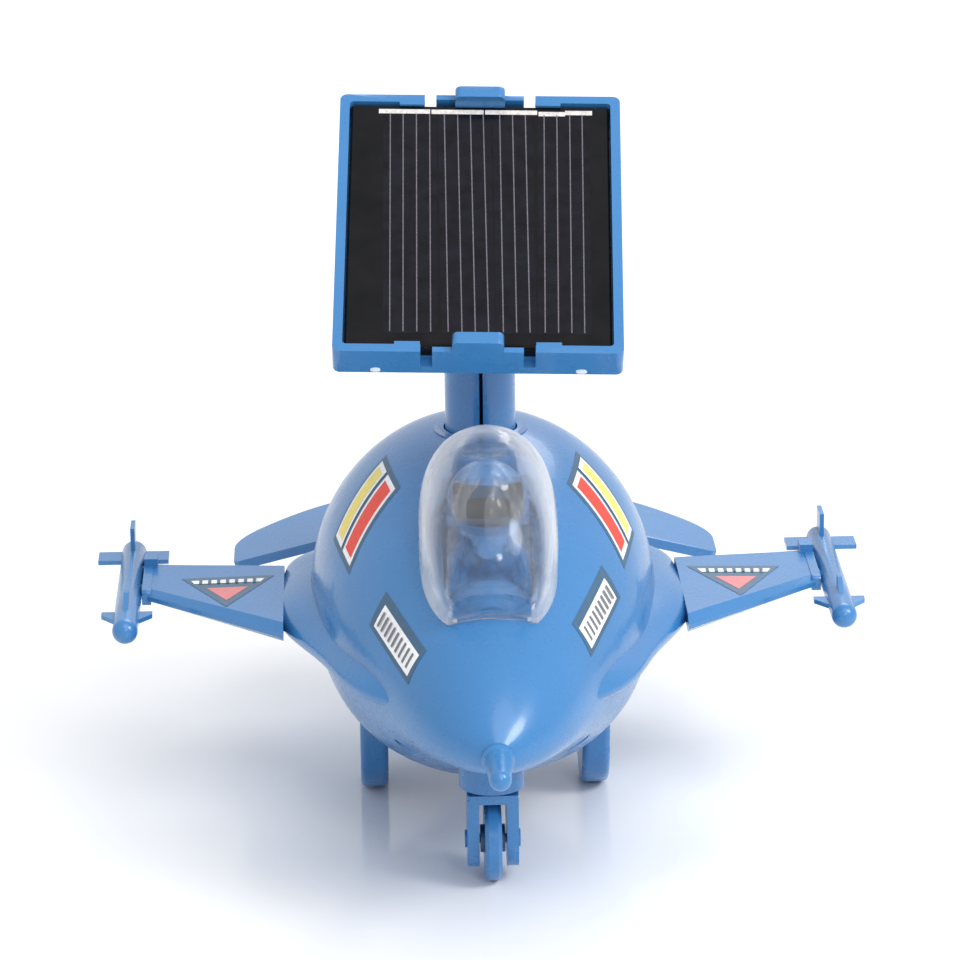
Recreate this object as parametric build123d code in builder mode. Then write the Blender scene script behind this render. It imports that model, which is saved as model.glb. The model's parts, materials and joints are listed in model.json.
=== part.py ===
from build123d import *
import os
from math import atan2, cos, pi, radians, sin

# Solar toy jet: a plump two-shell fighter with a solar panel on a ball-jointed mast, a steering
# nose wheel, two driven rear wheels, a clear hinged canopy over a pilot, wings with missiles,
# tailplanes and a round nozzle. Millimetres, +Z up, nose towards -Y, left wing towards +X.
# The origin is on the floor, under the middle of the part's bounding box.

# ---- driving dimensions ---------------------------------------------------------------------
WALL = 1.9                      # shell wall
PARTING_Z = 43.0                # height of the joint between the two shells
FIT = 0.15                      # gap of a push fit
# fuselage sections: y, half width, top z, bottom z, z of the widest point
HULL = [
    (-77, 2.6, 45.6, 40.2, 42.8),
    (-72, 8.8, 50.5, 37.5, 43.0),
    (-64, 15.0, 56.5, 35.0, 43.5),
    (-50, 21.8, 64.5, 30.5, 44.5),
    (-32, 29.2, 73.0, 23.0, 46.0),
    (-12, 35.2, 80.5, 14.6, 48.0),
    (6, 37.6, 85.6, 10.6, 49.0),
    (24, 37.6, 86.6, 11.0, 49.0),
    (40, 34.0, 83.2, 15.4, 48.5),
    (54, 27.8, 75.0, 22.0, 47.2),
    (67, 20.0, 65.6, 26.4, 46.0),
]
NOSE_SECTION, TAIL_SECTION = 0, len(HULL)
CAVITY_SECTION = 2              # the nose is solid in front of this section
# strakes that grow from the nose sides into the wing-root boots: y, reach, half height
STRAKE = [(-56, 17.5, 2.0), (-48, 23.6, 5.0), (-30, 33.5, 7.5), (-12, 39.8, 8.6), (0, 44.3, 9.2),
          (20, 45.5, 9.5), (36, 44.0, 8.5), (47, 31.0, 6.0)]
STRAKE_Z = 46.0
# fairings that carry the tailplanes past the nozzle: y, reach, half height
TAIL_FAIRING = [(38, 34.5, 5.0), (56, 32.5, 5.2), (74, 30.5, 4.8), (86, 26.5, 4.0)]
TAIL_FAIRING_Z = 44.5

AXLE_Y, AXLE_Z = 24.3, 17.2     # rear axle
WHEEL_R, WHEEL_W, WHEEL_X = 17.2, 6.2, 24.7
AXLE_R = 1.0
CASTER_Y = -34.9                # steering axis of the nose wheel
CASTER_R, CASTER_W = 9.1, 3.6
FORK_W, FORK_L, FORK_GAP, FORK_TOP = 10.9, 12.0, 5.9, 20.9
STEM_R = 2.5

MAST_Y = 16.0
MAST_R, MAST_NECK_R = 7.75, 4.95
MAST_BORE_R = 2.0
BALL_Z, BALL_R = 119.8, 8.5
SOCKET_GAP = 0.1
PANEL_TILT = 34.2               # degrees towards the nose
PANEL_ROLL = 2.3                # degrees clockwise, as the cell's face is looked at
TRAY_W, TRAY_H = 61.2, 73.7
TRAY_BACK, TRAY_DEPTH, TRAY_WALL = 11.1, 6.85, 2.1
CELL_W, CELL_H, CELL_T = 56.4, 69.0, 3.2

SILL_FRONT_Y, SILL_FRONT_Z = -54.5, 65.6    # lower front edge of the canopy
HINGE_Y, HINGE_Z = -8.5, 88.0               # canopy hinge axis
CANOPY_WALL = 1.2
# canopy sections: distance from the front edge, half width, height over the hinge-to-front line
CANOPY = [(2.2, 9.2, 4.6), (5.5, 11.2, 9.4), (11, 13.2, 13.6), (20, 14.5, 17.0), (30, 14.6, 18.4),
          (38, 13.8, 17.3), (44, 11.4, 13.6), (48, 8.0, 8.5)]

WING_Z, WING_ROOT_X, WING_TIP_X = 46.6, 44.0, 75.6
MISSILE_X, MISSILE_Z, MISSILE_R = 78.5, 46.4, 2.8
MISSILE_FRONT, MISSILE_REAR = -5.0, 54.0
NOZZLE_Z, NOZZLE_FRONT, NOZZLE_RIM_Y = 45.9, 66.0, 86.4
NOZZLE_BASE_R, NOZZLE_RIM_R, RECESS_R = 18.6, 15.3, 13.4

MODULE = 0.5                    # all gears
AXLE_TEETH, IDLER_TEETH, BIG_TEETH, SMALL_TEETH, PINION_TEETH = 14, 28, 26, 8, 8
MOTOR_R, MOTOR_L = 12.2, 12.3
SHELL_SCREWS = [(18.0, -40.0), (-18.0, -40.0), (24.0, 50.0), (-24.0, 50.0)]

os.makedirs("parts", exist_ok=True)


def save(piece, name):
    """Label a finished piece and write it as its own file."""
    piece.label = name
    export_step(piece, f"parts/{name}.step")


def across(y, z=0.0):
    """Plane across the fuselage at y: local x is X and local y is Z."""
    return Plane(origin=(0, y, z), x_dir=(1, 0, 0), z_dir=(0, -1, 0))


def side(x):
    """Plane along the fuselage at x: local x is Y and local y is Z."""
    return Plane(origin=(x, 0, 0), x_dir=(0, 1, 0), z_dir=(1, 0, 0))


def hull_block(inset, first=NOSE_SECTION, last=TAIL_SECTION):
    """Solid fuselage, its surface moved inwards by inset."""
    with BuildPart() as block:
        for y, half, top, bottom, wide in HULL[first:last]:
            with BuildSketch(across(y, wide)):
                with BuildLine():
                    EllipticalCenterArc((0, 0), half - inset, top - wide - inset,
                                        start_angle=0, arc_size=180)
                    EllipticalCenterArc((0, 0), half - inset, wide - bottom - inset,
                                        start_angle=180, arc_size=180)
                make_face()
        loft()
    return block.part


def ellipse_block(stations, z):
    """Solid through elliptical sections that span the fuselage."""
    with BuildPart() as block:
        for y, reach, half in stations:
            with BuildSketch(across(y, z)):
                Ellipse(reach, half)
        loft()
    return block.part


def cockpit_outline(grow, floor_z):
    """Tall prism with the plan shape of the cockpit opening, grown sideways by grow."""
    with BuildPart() as prism:
        with BuildSketch(Plane.XY.offset(floor_z)):
            with BuildLine():
                Polyline((-6.2 - grow, -49.5 - grow), (6.2 + grow, -49.5 - grow))
                Spline((6.2 + grow, -49.5 - grow), (11.0 + grow, -42), (12.3 + grow, -30),
                       (10.6 + grow, -18), (6.0 + grow, -13.2 + grow))
                Line((6.0 + grow, -13.2 + grow), (-6.0 - grow, -13.2 + grow))
                Spline((-6.0 - grow, -13.2 + grow), (-10.6 - grow, -18), (-12.3 - grow, -30),
                       (-11.0 - grow, -42), (-6.2 - grow, -49.5 - grow))
            make_face()
        extrude(amount=60)
    return prism.part


hull_solid = hull_block(0)
hull_cavity = hull_block(WALL, CAVITY_SECTION)
strakes = ellipse_block(STRAKE, STRAKE_Z)
tail_fairings = ellipse_block(TAIL_FAIRING, TAIL_FAIRING_Z)

# ---- wings: flat swept panels with a tongue that plugs into the boots -----------------------
WING_ROOT = (-8.5, 36.9)        # leading and trailing edge at the root
WING_TIP = (20.1, 41.6)
TONGUE_Y, TONGUE_L, TONGUE_T, TONGUE_DEPTH = 14.0, 24.0, 2.2, 4.5
SLOT = TONGUE_T + 2 * FIT


def wing_section(x, edges, thickness):
    """Wing section at x: a flat lens with blunt edges, in a plane across X."""
    front, rear = edges
    with BuildSketch(side(x)) as section:
        with BuildLine():
            Polyline((front, WING_Z - 0.5), (front + 3, WING_Z - thickness / 2),
                     (rear - 3, WING_Z - thickness / 2), (rear, WING_Z - 0.7),
                     (rear, WING_Z + 0.7), (rear - 3, WING_Z + thickness / 2),
                     (front + 3, WING_Z + thickness / 2), (front, WING_Z + 0.5), close=True)
        make_face()
    return section.sketch


RAIL_L, RAIL_Y, PEG_R, PEG_L = 26.0, 32.0, 1.2, 2.6
with BuildPart() as wing:
    add(wing_section(WING_ROOT_X, WING_ROOT, 4.3))
    add(wing_section(WING_TIP_X, WING_TIP, 3.0))
    loft()
    # launch rail along the tip, with a block towards the rear and two missile pegs
    with BuildSketch(Plane.YZ.offset(WING_TIP_X - 2)):
        with Locations((RAIL_Y, WING_Z)):
            RectangleRounded(RAIL_L, 3.6, 1.0)
    extrude(amount=2.0)
    with BuildSketch(Plane.YZ.offset(WING_TIP_X - 3)):
        with Locations((RAIL_Y + 7, WING_Z + 1.2)):
            Rectangle(5.0, 4.6)
    extrude(amount=3.0)
    with BuildSketch(Plane.YZ.offset(WING_TIP_X)):
        with Locations((RAIL_Y - 6, MISSILE_Z), (RAIL_Y + 7, MISSILE_Z)):
            Circle(PEG_R)
    extrude(amount=PEG_L)
    # tongue
    with BuildSketch(Plane.YZ.offset(WING_ROOT_X)):
        with Locations((TONGUE_Y, WING_Z)):
            Rectangle(TONGUE_L, TONGUE_T)
    extrude(amount=-TONGUE_DEPTH)
save(wing.part, "wing_left")
save(mirror(wing.part, about=Plane.YZ), "wing_right")

# ---- missiles: round body, domed nose, four front fins and a square cross of rear fins ------
with BuildPart() as missile:
    with BuildSketch(Plane(origin=(MISSILE_X, 0, MISSILE_Z), x_dir=(1, 0, 0), z_dir=(0, 0, 1))):
        with BuildLine():
            Line((0, MISSILE_REAR), (0, MISSILE_FRONT))
            RadiusArc((0, MISSILE_FRONT), (MISSILE_R, MISSILE_FRONT + MISSILE_R), -MISSILE_R)
            Line((MISSILE_R, MISSILE_FRONT + MISSILE_R), (MISSILE_R, MISSILE_REAR - 1))
            Polyline((MISSILE_R, MISSILE_REAR - 1), (MISSILE_R - 0.6, MISSILE_REAR),
                     (0, MISSILE_REAR))
        make_face()
    revolve(axis=Axis((MISSILE_X, 0, MISSILE_Z), (0, 1, 0)))
    with BuildSketch(Plane.XY.offset(MISSILE_Z - 0.5)):
        with BuildLine():
            Polyline((MISSILE_X - 5.6, 7.5), (MISSILE_X - 5.6, 9.5), (MISSILE_X, 9.5),
                     (MISSILE_X + 5.6, 9.5), (MISSILE_X + 5.6, 7.5), (MISSILE_X, 0.5), close=True)
        make_face()
        with Locations((MISSILE_X, 49.0)):
            Rectangle(16.0, 6.6)
    extrude(amount=1.0)
    with BuildSketch(Plane.YZ.offset(MISSILE_X - 0.5)):
        with BuildLine():
            Polyline((7.5, MISSILE_Z - 5.6), (9.5, MISSILE_Z - 5.6), (9.5, MISSILE_Z),
                     (9.5, MISSILE_Z + 5.6), (7.5, MISSILE_Z + 5.6), (0.5, MISSILE_Z), close=True)
        make_face()
        with Locations((49.0, MISSILE_Z)):
            Rectangle(6.6, 16.0)
    extrude(amount=1.0)
    # holes for the two rail pegs
    with BuildSketch(Plane.YZ.offset(WING_TIP_X - 0.1)):
        with Locations((RAIL_Y - 6, MISSILE_Z), (RAIL_Y + 7, MISSILE_Z)):
            Circle(PEG_R + 0.05)
    extrude(amount=PEG_L + 0.4, mode=Mode.SUBTRACT)
save(missile.part, "missile_left")
save(mirror(missile.part, about=Plane.YZ), "missile_right")

# ---- tailplanes: drooping flat plates with a curved trailing edge ---------------------------
DROOP = 15.5
TAIL_ROOT_X, TAIL_ROOT_Z, TAIL_T = 25.0, 46.4, 2.2
tail_plane = Plane(origin=(TAIL_ROOT_X, 0, TAIL_ROOT_Z), x_dir=(cos(radians(DROOP)), 0,
                   -sin(radians(DROOP))), z_dir=(sin(radians(DROOP)), 0, cos(radians(DROOP))))
TAIL_SPAN = (56.0 - TAIL_ROOT_X) / cos(radians(DROOP))
with BuildPart() as tailplane:
    with BuildSketch(tail_plane.offset(-TAIL_T / 2)):
        with BuildLine():
            Polyline((0, 89), (0, 64), (TAIL_SPAN - 1, 67), (TAIL_SPAN, 68), (TAIL_SPAN, 78))
            Spline((TAIL_SPAN, 78), (TAIL_SPAN - 2.5, 84.5), (TAIL_SPAN - 10, 89.2),
                   (8, 91.6), (0, 89))
        make_face()
    extrude(amount=TAIL_T)
    with BuildSketch(tail_plane.offset(-TAIL_T / 2)):
        with Locations((-1.5, 70)):
            Rectangle(3.0, 8.0)
    extrude(amount=TAIL_T)
save(tailplane.part, "tailplane_left")
save(mirror(tailplane.part, about=Plane.YZ), "tailplane_right")

# ---- nose probe ------------------------------------------------------------------------------
PROBE_Z, PROBE_TIP_Y, PROBE_ROOT_Y = 43.0, -91.6, -77.05
PROBE_SPIGOT_Y, PROBE_SPIGOT_R = -71.0, 1.5
with BuildPart() as nose_probe:
    with BuildSketch(Plane.XY.offset(PROBE_Z)):
        with BuildLine():
            Line((0, PROBE_SPIGOT_Y), (0, PROBE_TIP_Y))
            RadiusArc((0, PROBE_TIP_Y), (2.3, PROBE_TIP_Y + 2.3), -2.3)
            Polyline((2.3, PROBE_TIP_Y + 2.3), (2.9, PROBE_ROOT_Y - 2), (3.4, PROBE_ROOT_Y - 1.2),
                     (3.4, PROBE_ROOT_Y), (PROBE_SPIGOT_R, PROBE_ROOT_Y),
                     (PROBE_SPIGOT_R, PROBE_SPIGOT_Y), (0, PROBE_SPIGOT_Y))
        make_face()
    revolve(axis=Axis((0, 0, PROBE_Z), (0, 1, 0)))
save(nose_probe.part, "nose_probe")

# ---- nozzle: twelve-sided tapering ring with stepped inner rings, and its heptagon plate ----
PLATE_Y = 75.5
with BuildPart() as nozzle:
    with BuildSketch(across(NOZZLE_FRONT + 1.5, NOZZLE_Z)):
        RegularPolygon(NOZZLE_BASE_R, 12)
    with BuildSketch(across(NOZZLE_RIM_Y, NOZZLE_Z)):
        RegularPolygon(NOZZLE_RIM_R + 0.3, 12)
    loft()
    # spigot inside the fuselage tail
    with BuildSketch(across(NOZZLE_FRONT + 1.5, NOZZLE_Z)):
        Circle(16.2)
    extrude(amount=7.5)
    # recess, in two steps
    with BuildSketch(across(NOZZLE_RIM_Y, NOZZLE_Z)):
        Circle(RECESS_R)
    extrude(amount=NOZZLE_RIM_Y - PLATE_Y - 2, mode=Mode.SUBTRACT)
    with BuildSketch(across(PLATE_Y + 2.1, NOZZLE_Z)):
        Circle(RECESS_R - 1.4)
    extrude(amount=3.1, mode=Mode.SUBTRACT)
    # hollow behind the plate
    with BuildSketch(across(PLATE_Y - 3.0, NOZZLE_Z)):
        Circle(RECESS_R - 2.4)
    extrude(amount=14, mode=Mode.SUBTRACT)
    with BuildSketch(across(PLATE_Y, NOZZLE_Z)):
        Circle(6.0)
    extrude(amount=4, mode=Mode.SUBTRACT)
    # notches between the petals at the base
    for n in range(12):
        turn = radians(30 * n + 15)
        notch = Plane(origin=(0, 0, NOZZLE_Z), x_dir=(cos(turn), 0, sin(turn)),
                      z_dir=(-sin(turn), 0, cos(turn)))
        with BuildSketch(notch.offset(-0.35)):
            with Locations((NOZZLE_BASE_R - 0.2, -(NOZZLE_FRONT + 3.2))):
                Rectangle(1.6, 2.2)
        extrude(amount=0.7, mode=Mode.SUBTRACT)
save(nozzle.part, "nozzle")

with BuildPart() as nozzle_plate:
    with BuildSketch(across(PLATE_Y, NOZZLE_Z)):
        Circle(RECESS_R - 1.5)
    extrude(amount=1.0)
    with BuildSketch(across(PLATE_Y + 0.9, NOZZLE_Z)):
        Circle(10.4)
        Circle(9.5, mode=Mode.SUBTRACT)
    extrude(amount=0.9)
    with BuildSketch(across(PLATE_Y + 1.2, NOZZLE_Z)):
        RegularPolygon(8.0, 7, rotation=90)
    extrude(amount=1.2)
    with BuildSketch(across(PLATE_Y - 1.0, NOZZLE_Z)):
        Circle(5.8)
    extrude(amount=2.4)
save(nozzle_plate.part, "nozzle_plate")

# ---- shells ----------------------------------------------------------------------------------
BOSS_R, RECESS_HEAD_R, SHANK_R = 3.4, 2.6, 1.2
HEAD_SEAT_Z = 36.0
POST_X = 13.6
MAST_HOLE_R = MAST_R + 0.35
MAST_FLANGE_TOP, MAST_FLANGE_R = 81.4, 10.0
STEM_BORE_R = STEM_R + 0.08
LUG_X, LUG_W, PIN_R = 6.6, 2.6, 0.75
DECK_SLOT_Y, DECK_SLOT_L, DECK_SLOT_W = 49.9, 21.0, 2.5
TAIL_BORE_R = 16.4              # hole for the nozzle spigot
BOOT_MID_Y, BOOT_L, BOOT_H = 14.2, 62.0, 24.0

# cuts that both shells share: nozzle opening, flat boot ends, spigot hole of the nose probe
with BuildPart() as shared_cuts:
    with BuildSketch(across(NOZZLE_FRONT + 1, NOZZLE_Z)):
        Circle(NOZZLE_BASE_R + 0.3)
    extrude(amount=-30)
    with BuildSketch(across(NOZZLE_FRONT + 1, NOZZLE_Z)):
        Circle(TAIL_BORE_R)
    extrude(amount=8)
    for flip in (1, -1):
        with BuildSketch(Plane.YZ.offset(flip * WING_ROOT_X)):
            with Locations((BOOT_MID_Y, WING_Z)):
                Rectangle(BOOT_L, BOOT_H)
        extrude(amount=flip * 6)
    with BuildSketch(across(PROBE_SPIGOT_Y, PROBE_Z)):
        Circle(PROBE_SPIGOT_R + 0.05)
    extrude(amount=10)

tub_prism = cockpit_outline(0, 50)
sill = cockpit_outline(1.0, 50) - tub_prism
sill = (sill & hull_block(-0.9)) - hull_block(1.0, CAVITY_SECTION)

with BuildPart() as upper_shell:
    add(hull_solid)
    add(strakes)
    add(tail_fairings)
    add(hull_cavity, mode=Mode.SUBTRACT)
    add(sill)
    add(shared_cuts.part, mode=Mode.SUBTRACT)
    add(tub_prism, mode=Mode.SUBTRACT)
    # collar under the deck that guides the mast
    with BuildSketch(Plane.XY.offset(MAST_FLANGE_TOP + 0.2)):
        with Locations((0, MAST_Y)):
            Circle(MAST_HOLE_R + 2.2)
    extrude(amount=4.0)
    with BuildSketch(Plane.XY.offset(60)):
        with Locations((0, MAST_Y)):
            Circle(MAST_HOLE_R)
    extrude(amount=40, mode=Mode.SUBTRACT)
    # long slot in the rear deck
    with BuildSketch(Plane.XY.offset(60)):
        with Locations((0, DECK_SLOT_Y)):
            Rectangle(DECK_SLOT_W, DECK_SLOT_L)
    extrude(amount=40, mode=Mode.SUBTRACT)
    # hinge lugs for the canopy
    for x in (-LUG_X - LUG_W / 2, LUG_X - LUG_W / 2):
        with BuildSketch(side(x)):
            with BuildLine():
                Polyline((HINGE_Y - 1.7, HINGE_Z), (HINGE_Y - 2.2, 80.5), (HINGE_Y + 5.5, 83.2),
                         (HINGE_Y + 1.7, HINGE_Z))
                RadiusArc((HINGE_Y + 1.7, HINGE_Z), (HINGE_Y - 1.7, HINGE_Z), -1.7)
            make_face()
        extrude(amount=LUG_W)
    with BuildSketch(side(-12)):
        with Locations((HINGE_Y, HINGE_Z)):
            Circle(PIN_R)
    extrude(amount=24, mode=Mode.SUBTRACT)
    # sockets for the wing tongues and tailplane tongues
    with BuildSketch(Plane.XY.offset(WING_Z - SLOT / 2)):
        with Locations((WING_ROOT_X, TONGUE_Y), (-WING_ROOT_X, TONGUE_Y)):
            Rectangle(2 * (TONGUE_DEPTH + FIT), TONGUE_L + 2 * FIT)
    extrude(amount=SLOT, mode=Mode.SUBTRACT)
    for flip in (1, -1):
        tongue_plane = Plane(origin=(flip * TAIL_ROOT_X, 0, TAIL_ROOT_Z),
                             x_dir=(cos(radians(DROOP)), 0, -flip * sin(radians(DROOP))),
                             z_dir=(flip * sin(radians(DROOP)), 0, cos(radians(DROOP))))
        with BuildSketch(tongue_plane.offset(-TAIL_T / 2 - FIT)):
            with Locations((-flip * 1.5, 70)):
                Rectangle(3.0 + 2 * FIT, 8.0 + 2 * FIT)
            with Locations((flip * 10, 78)):
                Rectangle(20, 28.6)
        extrude(amount=TAIL_T + 2 * FIT, mode=Mode.SUBTRACT)
    # posts beside the mast for the retainer screws
    with BuildSketch(Plane.XY.offset(MAST_FLANGE_TOP - 2.0)):
        with Locations((POST_X, MAST_Y), (-POST_X, MAST_Y)):
            Circle(2.5)
    post = extrude(amount=6, mode=Mode.PRIVATE)
    add(post & hull_block(0.5))
    with BuildSketch(Plane.XY.offset(MAST_FLANGE_TOP - 2.1)):
        with Locations((POST_X, MAST_Y), (-POST_X, MAST_Y)):
            Circle(0.9)
    extrude(amount=2.6, mode=Mode.SUBTRACT)
    # screw posts reach up to the ceiling
    with BuildSketch(Plane.XY.offset(PARTING_Z)):
        with Locations(*SHELL_SCREWS):
            Circle(BOSS_R - 0.6)
    post = extrude(amount=45, mode=Mode.PRIVATE)
    add(post & hull_block(0.5))
    with BuildSketch(Plane.XY.offset(PARTING_Z - 5)):
        with Locations(*SHELL_SCREWS):
            Circle(SHANK_R)
    extrude(amount=15, mode=Mode.SUBTRACT)
    with BuildSketch(Plane.XY.offset(PARTING_Z)):
        Rectangle(300, 300)
    extrude(amount=-60, mode=Mode.SUBTRACT)
save(upper_shell.part, "upper_shell")

WHEEL_SLOT_R, WHEEL_SLOT_W = WHEEL_R + 1.2, WHEEL_W + 2.4
RIB_X, RIB_T = 17.6, 3.0
BUSH_R = 2.2
FRAME_PADS, FRAME_PAD_TOP = [(-6.5, 2.0), (9.5, 2.0)], 21.9
with BuildPart() as lower_shell:
    add(hull_solid)
    add(strakes)
    add(tail_fairings)
    with BuildSketch(Plane.XY.offset(21.4)):
        with Locations((0, CASTER_Y)):
            Circle(7.0)
    extrude(amount=12)
    add(hull_cavity, mode=Mode.SUBTRACT)
    # steering boss inside the nose
    with BuildSketch(Plane.XY.offset(21.6)):
        with Locations((0, CASTER_Y)):
            Circle(5.0)
    extrude(amount=9.4)
    with BuildSketch(Plane.XY.offset(15)):
        with Locations((0, CASTER_Y)):
            Circle(STEM_BORE_R)
    extrude(amount=22, mode=Mode.SUBTRACT)
    add(shared_cuts.part, mode=Mode.SUBTRACT)
    # posts for the shell screws, recessed for the screw heads
    with BuildSketch(Plane.XY.offset(15)):
        with Locations(*SHELL_SCREWS):
            Circle(BOSS_R)
    post = extrude(amount=PARTING_Z - 15, mode=Mode.PRIVATE)
    add(post & hull_solid)
    with BuildSketch(Plane.XY.offset(10)):
        with Locations(*SHELL_SCREWS):
            Circle(RECESS_HEAD_R)
    extrude(amount=HEAD_SEAT_Z - 10, mode=Mode.SUBTRACT)
    with BuildSketch(Plane.XY.offset(10)):
        with Locations(*SHELL_SCREWS):
            Circle(SHANK_R + 0.15)
    extrude(amount=40, mode=Mode.SUBTRACT)
    # ribs that hold the axle bushes
    with BuildSketch(Plane.XY.offset(12)):
        with Locations((RIB_X, AXLE_Y), (-RIB_X, AXLE_Y)):
            Rectangle(RIB_T, 9.0)
    rib = extrude(amount=9.5, mode=Mode.PRIVATE)
    add(rib & hull_solid)
    with BuildSketch(side(-22)):
        with Locations((AXLE_Y, AXLE_Z)):
            Circle(BUSH_R)
    extrude(amount=44, mode=Mode.SUBTRACT)
    # wheel slots
    for x in (WHEEL_X - WHEEL_SLOT_W / 2, -WHEEL_X - WHEEL_SLOT_W / 2):
        with BuildSketch(side(x)):
            with Locations((AXLE_Y, AXLE_Z)):
                Circle(WHEEL_SLOT_R)
        extrude(amount=WHEEL_SLOT_W, mode=Mode.SUBTRACT)
    # pads for the gearbox frame
    with BuildSketch(Plane.XY.offset(11)):
        with Locations(*FRAME_PADS):
            Circle(2.6)
    pad = extrude(amount=FRAME_PAD_TOP - 11, mode=Mode.PRIVATE)
    add(pad & hull_solid)
    with BuildSketch(Plane.XY.offset(FRAME_PAD_TOP)):
        with Locations(*FRAME_PADS):
            Circle(0.95)
    extrude(amount=-5.5, mode=Mode.SUBTRACT)
    with BuildSketch(Plane.XY.offset(PARTING_Z)):
        Rectangle(300, 300)
    extrude(amount=60, mode=Mode.SUBTRACT)
save(lower_shell.part, "lower_shell")

# ---- shell screws ----------------------------------------------------------------------------
with BuildPart() as shell_screws:
    with BuildSketch(Plane.XY.offset(HEAD_SEAT_Z)):
        with Locations(*SHELL_SCREWS):
            Circle(2.3)
    extrude(amount=-1.6)
    with BuildSketch(Plane.XY.offset(HEAD_SEAT_Z - 0.1)):
        with Locations(*SHELL_SCREWS):
            Circle(SHANK_R)
    extrude(amount=13.0)
    for x, y in SHELL_SCREWS:
        with BuildSketch(Plane.XY.offset(HEAD_SEAT_Z - 1.6)):
            with Locations((x, y)):
                Rectangle(2.8, 0.7)
                Rectangle(0.7, 2.8)
        extrude(amount=0.9, mode=Mode.SUBTRACT)
save(shell_screws.part, "shell_screws")

# ---- cockpit: tub with a flange under the shell, seat, instrument panel, pilot --------------
TUB_FLOOR, TUB_T = 52.0, 1.4
tub_body = cockpit_outline(-0.2, TUB_FLOOR) & hull_block(0.5)
flange_layer = hull_block(WALL + 0.1, CAVITY_SECTION) - hull_block(WALL + 1.5, CAVITY_SECTION)
tub_flange = cockpit_outline(2.0, TUB_FLOOR + 2) & flange_layer
with BuildPart() as cockpit_tub:
    add(tub_body)
    add(tub_flange)
    add(cockpit_outline(-0.2 - TUB_T, TUB_FLOOR + TUB_T), mode=Mode.SUBTRACT)
save(cockpit_tub.part, "cockpit_tub")

SEAT_BASE = TUB_FLOOR + TUB_T
with BuildPart() as seat:
    with BuildSketch(side(-5.5)):
        with BuildLine():
            Polyline((-34, SEAT_BASE), (-35, 58.5), (-33.5, 60.0), (-21.5, 60.0), (-18.8, 80.0),
                     (-18.3, 89.0))
            RadiusArc((-18.3, 89.0), (-15.9, 88.0), 2.0)
            Polyline((-15.9, 88.0), (-15.9, SEAT_BASE), (-34, SEAT_BASE))
        make_face()
    extrude(amount=11.0)
    fillet(seat.faces().sort_by(Axis.Z)[-1].edges().filter_by(GeomType.LINE), 0.6)
save(seat.part, "seat")

PANEL_Y = -44.0
with BuildPart() as instrument_panel:
    with BuildSketch(across(PANEL_Y, SEAT_BASE)):
        with Locations((0, 5.0)):
            Rectangle(9.4, 10.0)
    extrude(amount=3.0)
    with BuildSketch(across(PANEL_Y + 2.0, 62.5)):
        with BuildLine():
            EllipticalCenterArc((0, 0), 8.2, 6.2, start_angle=0, arc_size=180)
            Line((-8.2, 0), (8.2, 0))
        make_face()
    with BuildSketch(across(PANEL_Y - 3.4, 62.5)):
        with BuildLine():
            EllipticalCenterArc((0, 0), 4.2, 3.2, start_angle=0, arc_size=180)
            Line((-4.2, 0), (4.2, 0))
        make_face()
    loft()
save(instrument_panel.part, "instrument_panel")


def limb(start, end, radius):
    """Round rod between two points, with domed ends."""
    direction = Vector(*end) - Vector(*start)
    with BuildPart() as rod:
        with BuildSketch(Plane(origin=start, z_dir=direction.normalized())):
            Circle(radius)
        extrude(amount=direction.length)
        with Locations(start, end):
            Sphere(radius)
    return rod.part


HEAD_Y, HEAD_Z, HELMET_R = -27.5, 82.5, 8.5
NECK_TOP_Z = HEAD_Z - 7.2
with BuildPart() as pilot_body:
    for z, half_x, half_y in ((60.2, 7.0, 4.6), (65.5, 8.0, 5.2), (70.5, 8.8, 5.2), (73.6, 6.6, 4.6),
                              (NECK_TOP_Z, 4.2, 4.0)):
        with BuildSketch(Plane(origin=(0, -26.5, z), z_dir=(0, 0, 1))):
            Ellipse(half_x, half_y)
    loft()
    for flip in (1, -1):
        add(limb((flip * 7.6, -27.0, 69.6), (flip * 6.8, -36.5, 65.0), 2.4))
        add(limb((flip * 3.6, -29.0, 63.2), (flip * 3.8, -38.0, 63.2), 2.7))
save(pilot_body.part, "pilot_body")

helmet_ball = Pos(0, HEAD_Y, HEAD_Z) * Sphere(HELMET_R)
visor_ball = Pos(0, HEAD_Y, HEAD_Z) * Sphere(HELMET_R + 0.05)
with BuildPart() as helmet:
    add(helmet_ball)
    # rim along the lower edge and ear discs
    with BuildSketch(Plane(origin=(0, HEAD_Y, HEAD_Z - 6.3), z_dir=(0, 0, 1))):
        Circle(6.6)
    extrude(amount=2.2)
    with BuildSketch(side(-HELMET_R - 0.2)):
        with Locations((HEAD_Y + 0.6, HEAD_Z - 2.6)):
            Circle(3.0)
    extrude(amount=2 * HELMET_R + 0.4)
    with BuildSketch(Plane.XY.offset(HEAD_Z - 6.9)):
        Rectangle(60, 120)
    extrude(amount=-10, mode=Mode.SUBTRACT)
save(helmet.part, "helmet")

VISOR_HALF, VISOR_T = 7.3, 0.75
with BuildPart() as visor:
    with Locations((0, HEAD_Y, HEAD_Z)):
        Sphere(HELMET_R + VISOR_T)
    add(visor_ball, mode=Mode.SUBTRACT)
    with BuildSketch(side(-VISOR_HALF)):
        with BuildLine():
            Polyline((HEAD_Y - 17.5, HEAD_Z - 4.2), (HEAD_Y - 3.5, HEAD_Z - 2.6),
                     (HEAD_Y - 1.5, HEAD_Z + 1.5), (HEAD_Y - 4.0, HEAD_Z + 5.0),
                     (HEAD_Y - 17.5, HEAD_Z + 5.6), close=True)
        make_face()
    extrude(amount=2 * VISOR_HALF, mode=Mode.INTERSECT)
save(visor.part, "visor")

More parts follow.
